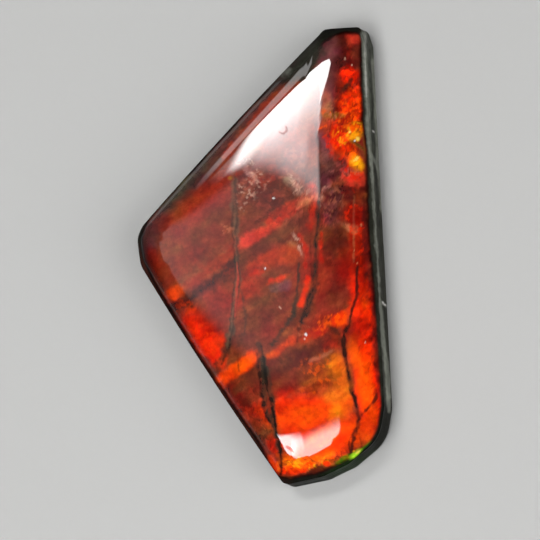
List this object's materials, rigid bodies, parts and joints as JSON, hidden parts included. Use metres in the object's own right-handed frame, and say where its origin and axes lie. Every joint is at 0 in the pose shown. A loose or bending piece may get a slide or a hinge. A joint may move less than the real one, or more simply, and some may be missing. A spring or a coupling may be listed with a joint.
{
  "type": "ammolite specimen",
  "caption": "Polished freeform ammolite stone with a domed red and orange face on a dark shale slab, lying on its flat back.",
  "frame": {"origin": "on the flat back, under the middle of the stone's box", "axes": "+X across the face, +Y along the stone towards its narrow end, +Z out of the domed face"},
  "size_m": [0.0246, 0.042, 0.0054],
  "materials": {
    "ammolite": "high polish, iridescent red to orange with dark healed cracks",
    "shale": "fine ground, dark grey-green, thin lengthwise bands"
  },
  "bodies": {
    "root": {"ammolite_face": "ammolite", "shale_backing": "shale"}
  },
  "joints": []
}
